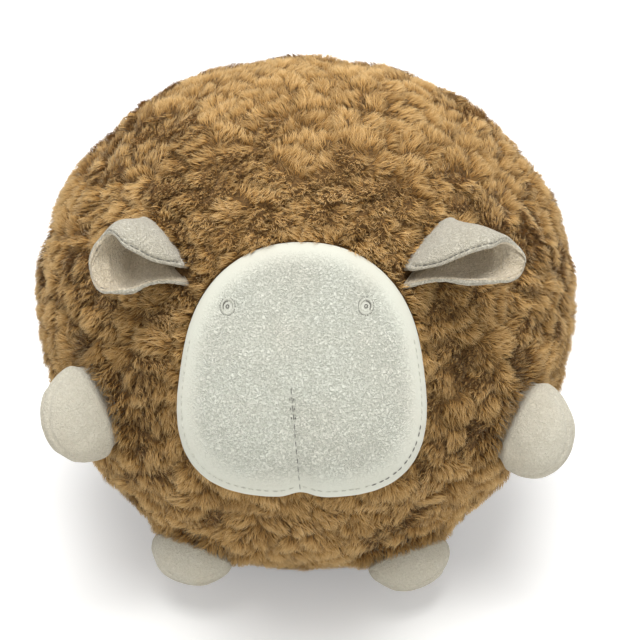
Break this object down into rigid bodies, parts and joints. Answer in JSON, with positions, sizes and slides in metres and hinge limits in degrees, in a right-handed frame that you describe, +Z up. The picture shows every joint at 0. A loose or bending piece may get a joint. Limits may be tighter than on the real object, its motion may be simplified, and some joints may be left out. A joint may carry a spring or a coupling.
{
  "type": "sheep cushion",
  "caption": "Round stuffed sheep cushion: a long-piled brown ball with a smooth cream face, cupped ears, and small stuffed paws, feet and tail that flex at their seams.",
  "frame": {"origin": "middle of the flat underside, on the upright axis of the ball", "axes": "+Z up, the sheep looks along -Y, its own left side is +X"},
  "size_m": [0.3466, 0.4166, 0.3173],
  "materials": {
    "pile_cloth": "long brown pile",
    "velour": "short cream nap",
    "thread": "satin stitched thread",
    "fibre": "loose white fibre"
  },
  "bodies": {
    "cushion": {"body_front_left": "pile_cloth", "body_back_left": "pile_cloth", "body_back_right": "pile_cloth", "body_front_right": "pile_cloth", "body_base": "pile_cloth", "body_filling": "fibre", "face_panel": "velour", "chin_panel": "velour", "face_filling": "fibre", "eye_left": "thread", "eye_right": "thread", "muzzle_dart_thread": "thread", "muzzle_rim_thread": "thread"},
    "ear_left": {"ear_left_outer": "velour", "ear_left_lining": "velour"},
    "paw_left": {"paw_left_top": "velour", "paw_left_under": "velour", "paw_left_filling": "fibre"},
    "foot_left": {"foot_left_top": "velour", "foot_left_sole": "velour", "foot_left_filling": "fibre"},
    "ear_right": {"ear_right_outer": "velour", "ear_right_lining": "velour"},
    "paw_right": {"paw_right_top": "velour", "paw_right_under": "velour", "paw_right_filling": "fibre"},
    "foot_right": {"foot_right_top": "velour", "foot_right_sole": "velour", "foot_right_filling": "fibre"},
    "tail": {"tail_top": "velour", "tail_under": "velour", "tail_filling": "fibre"}
  },
  "joints": [
    {"name": "ear_left_fold", "type": "hinge", "parent": "cushion", "child": "ear_left", "pos_m": [0.06556, -0.13383, 0.24476], "axis": [-0.5674, -0.6572, -0.4962], "range_deg": [-12, 30], "stiffness_Nm_per_rad": 0.3},
    {"name": "paw_left_swing", "type": "hinge", "parent": "cushion", "child": "paw_left", "pos_m": [0.12186, -0.12186, 0.13861], "axis": [-0.3718, -0.2034, -0.9058], "range_deg": [-14, 14], "stiffness_Nm_per_rad": 0.8},
    {"name": "foot_left_swing", "type": "hinge", "parent": "cushion", "child": "foot_left", "pos_m": [0.06217, -0.11309, 0.04264], "axis": [-0.8965, -0.44, -0.0521], "range_deg": [-20, 9], "stiffness_Nm_per_rad": 0.8},
    {"name": "ear_right_fold", "type": "hinge", "parent": "cushion", "child": "ear_right", "pos_m": [-0.07186, -0.13126, 0.24385], "axis": [-0.5769, 0.6727, 0.4634], "range_deg": [-12, 30], "stiffness_Nm_per_rad": 0.3},
    {"name": "paw_right_swing", "type": "hinge", "parent": "cushion", "child": "paw_right", "pos_m": [-0.11388, -0.13101, 0.15134], "axis": [-0.3456, 0.2225, 0.9117], "range_deg": [-14, 14], "stiffness_Nm_per_rad": 0.8},
    {"name": "foot_right_swing", "type": "hinge", "parent": "cushion", "child": "foot_right", "pos_m": [-0.06482, -0.11504, 0.04609], "axis": [-0.8912, 0.4505, 0.0533], "range_deg": [-20, 9], "stiffness_Nm_per_rad": 0.8},
    {"name": "tail_swing", "type": "hinge", "parent": "cushion", "child": "tail", "pos_m": [0, 0.16893, 0.11997], "axis": [1, 0, 0], "range_deg": [-14, 30], "stiffness_Nm_per_rad": 0.5}
  ]
}
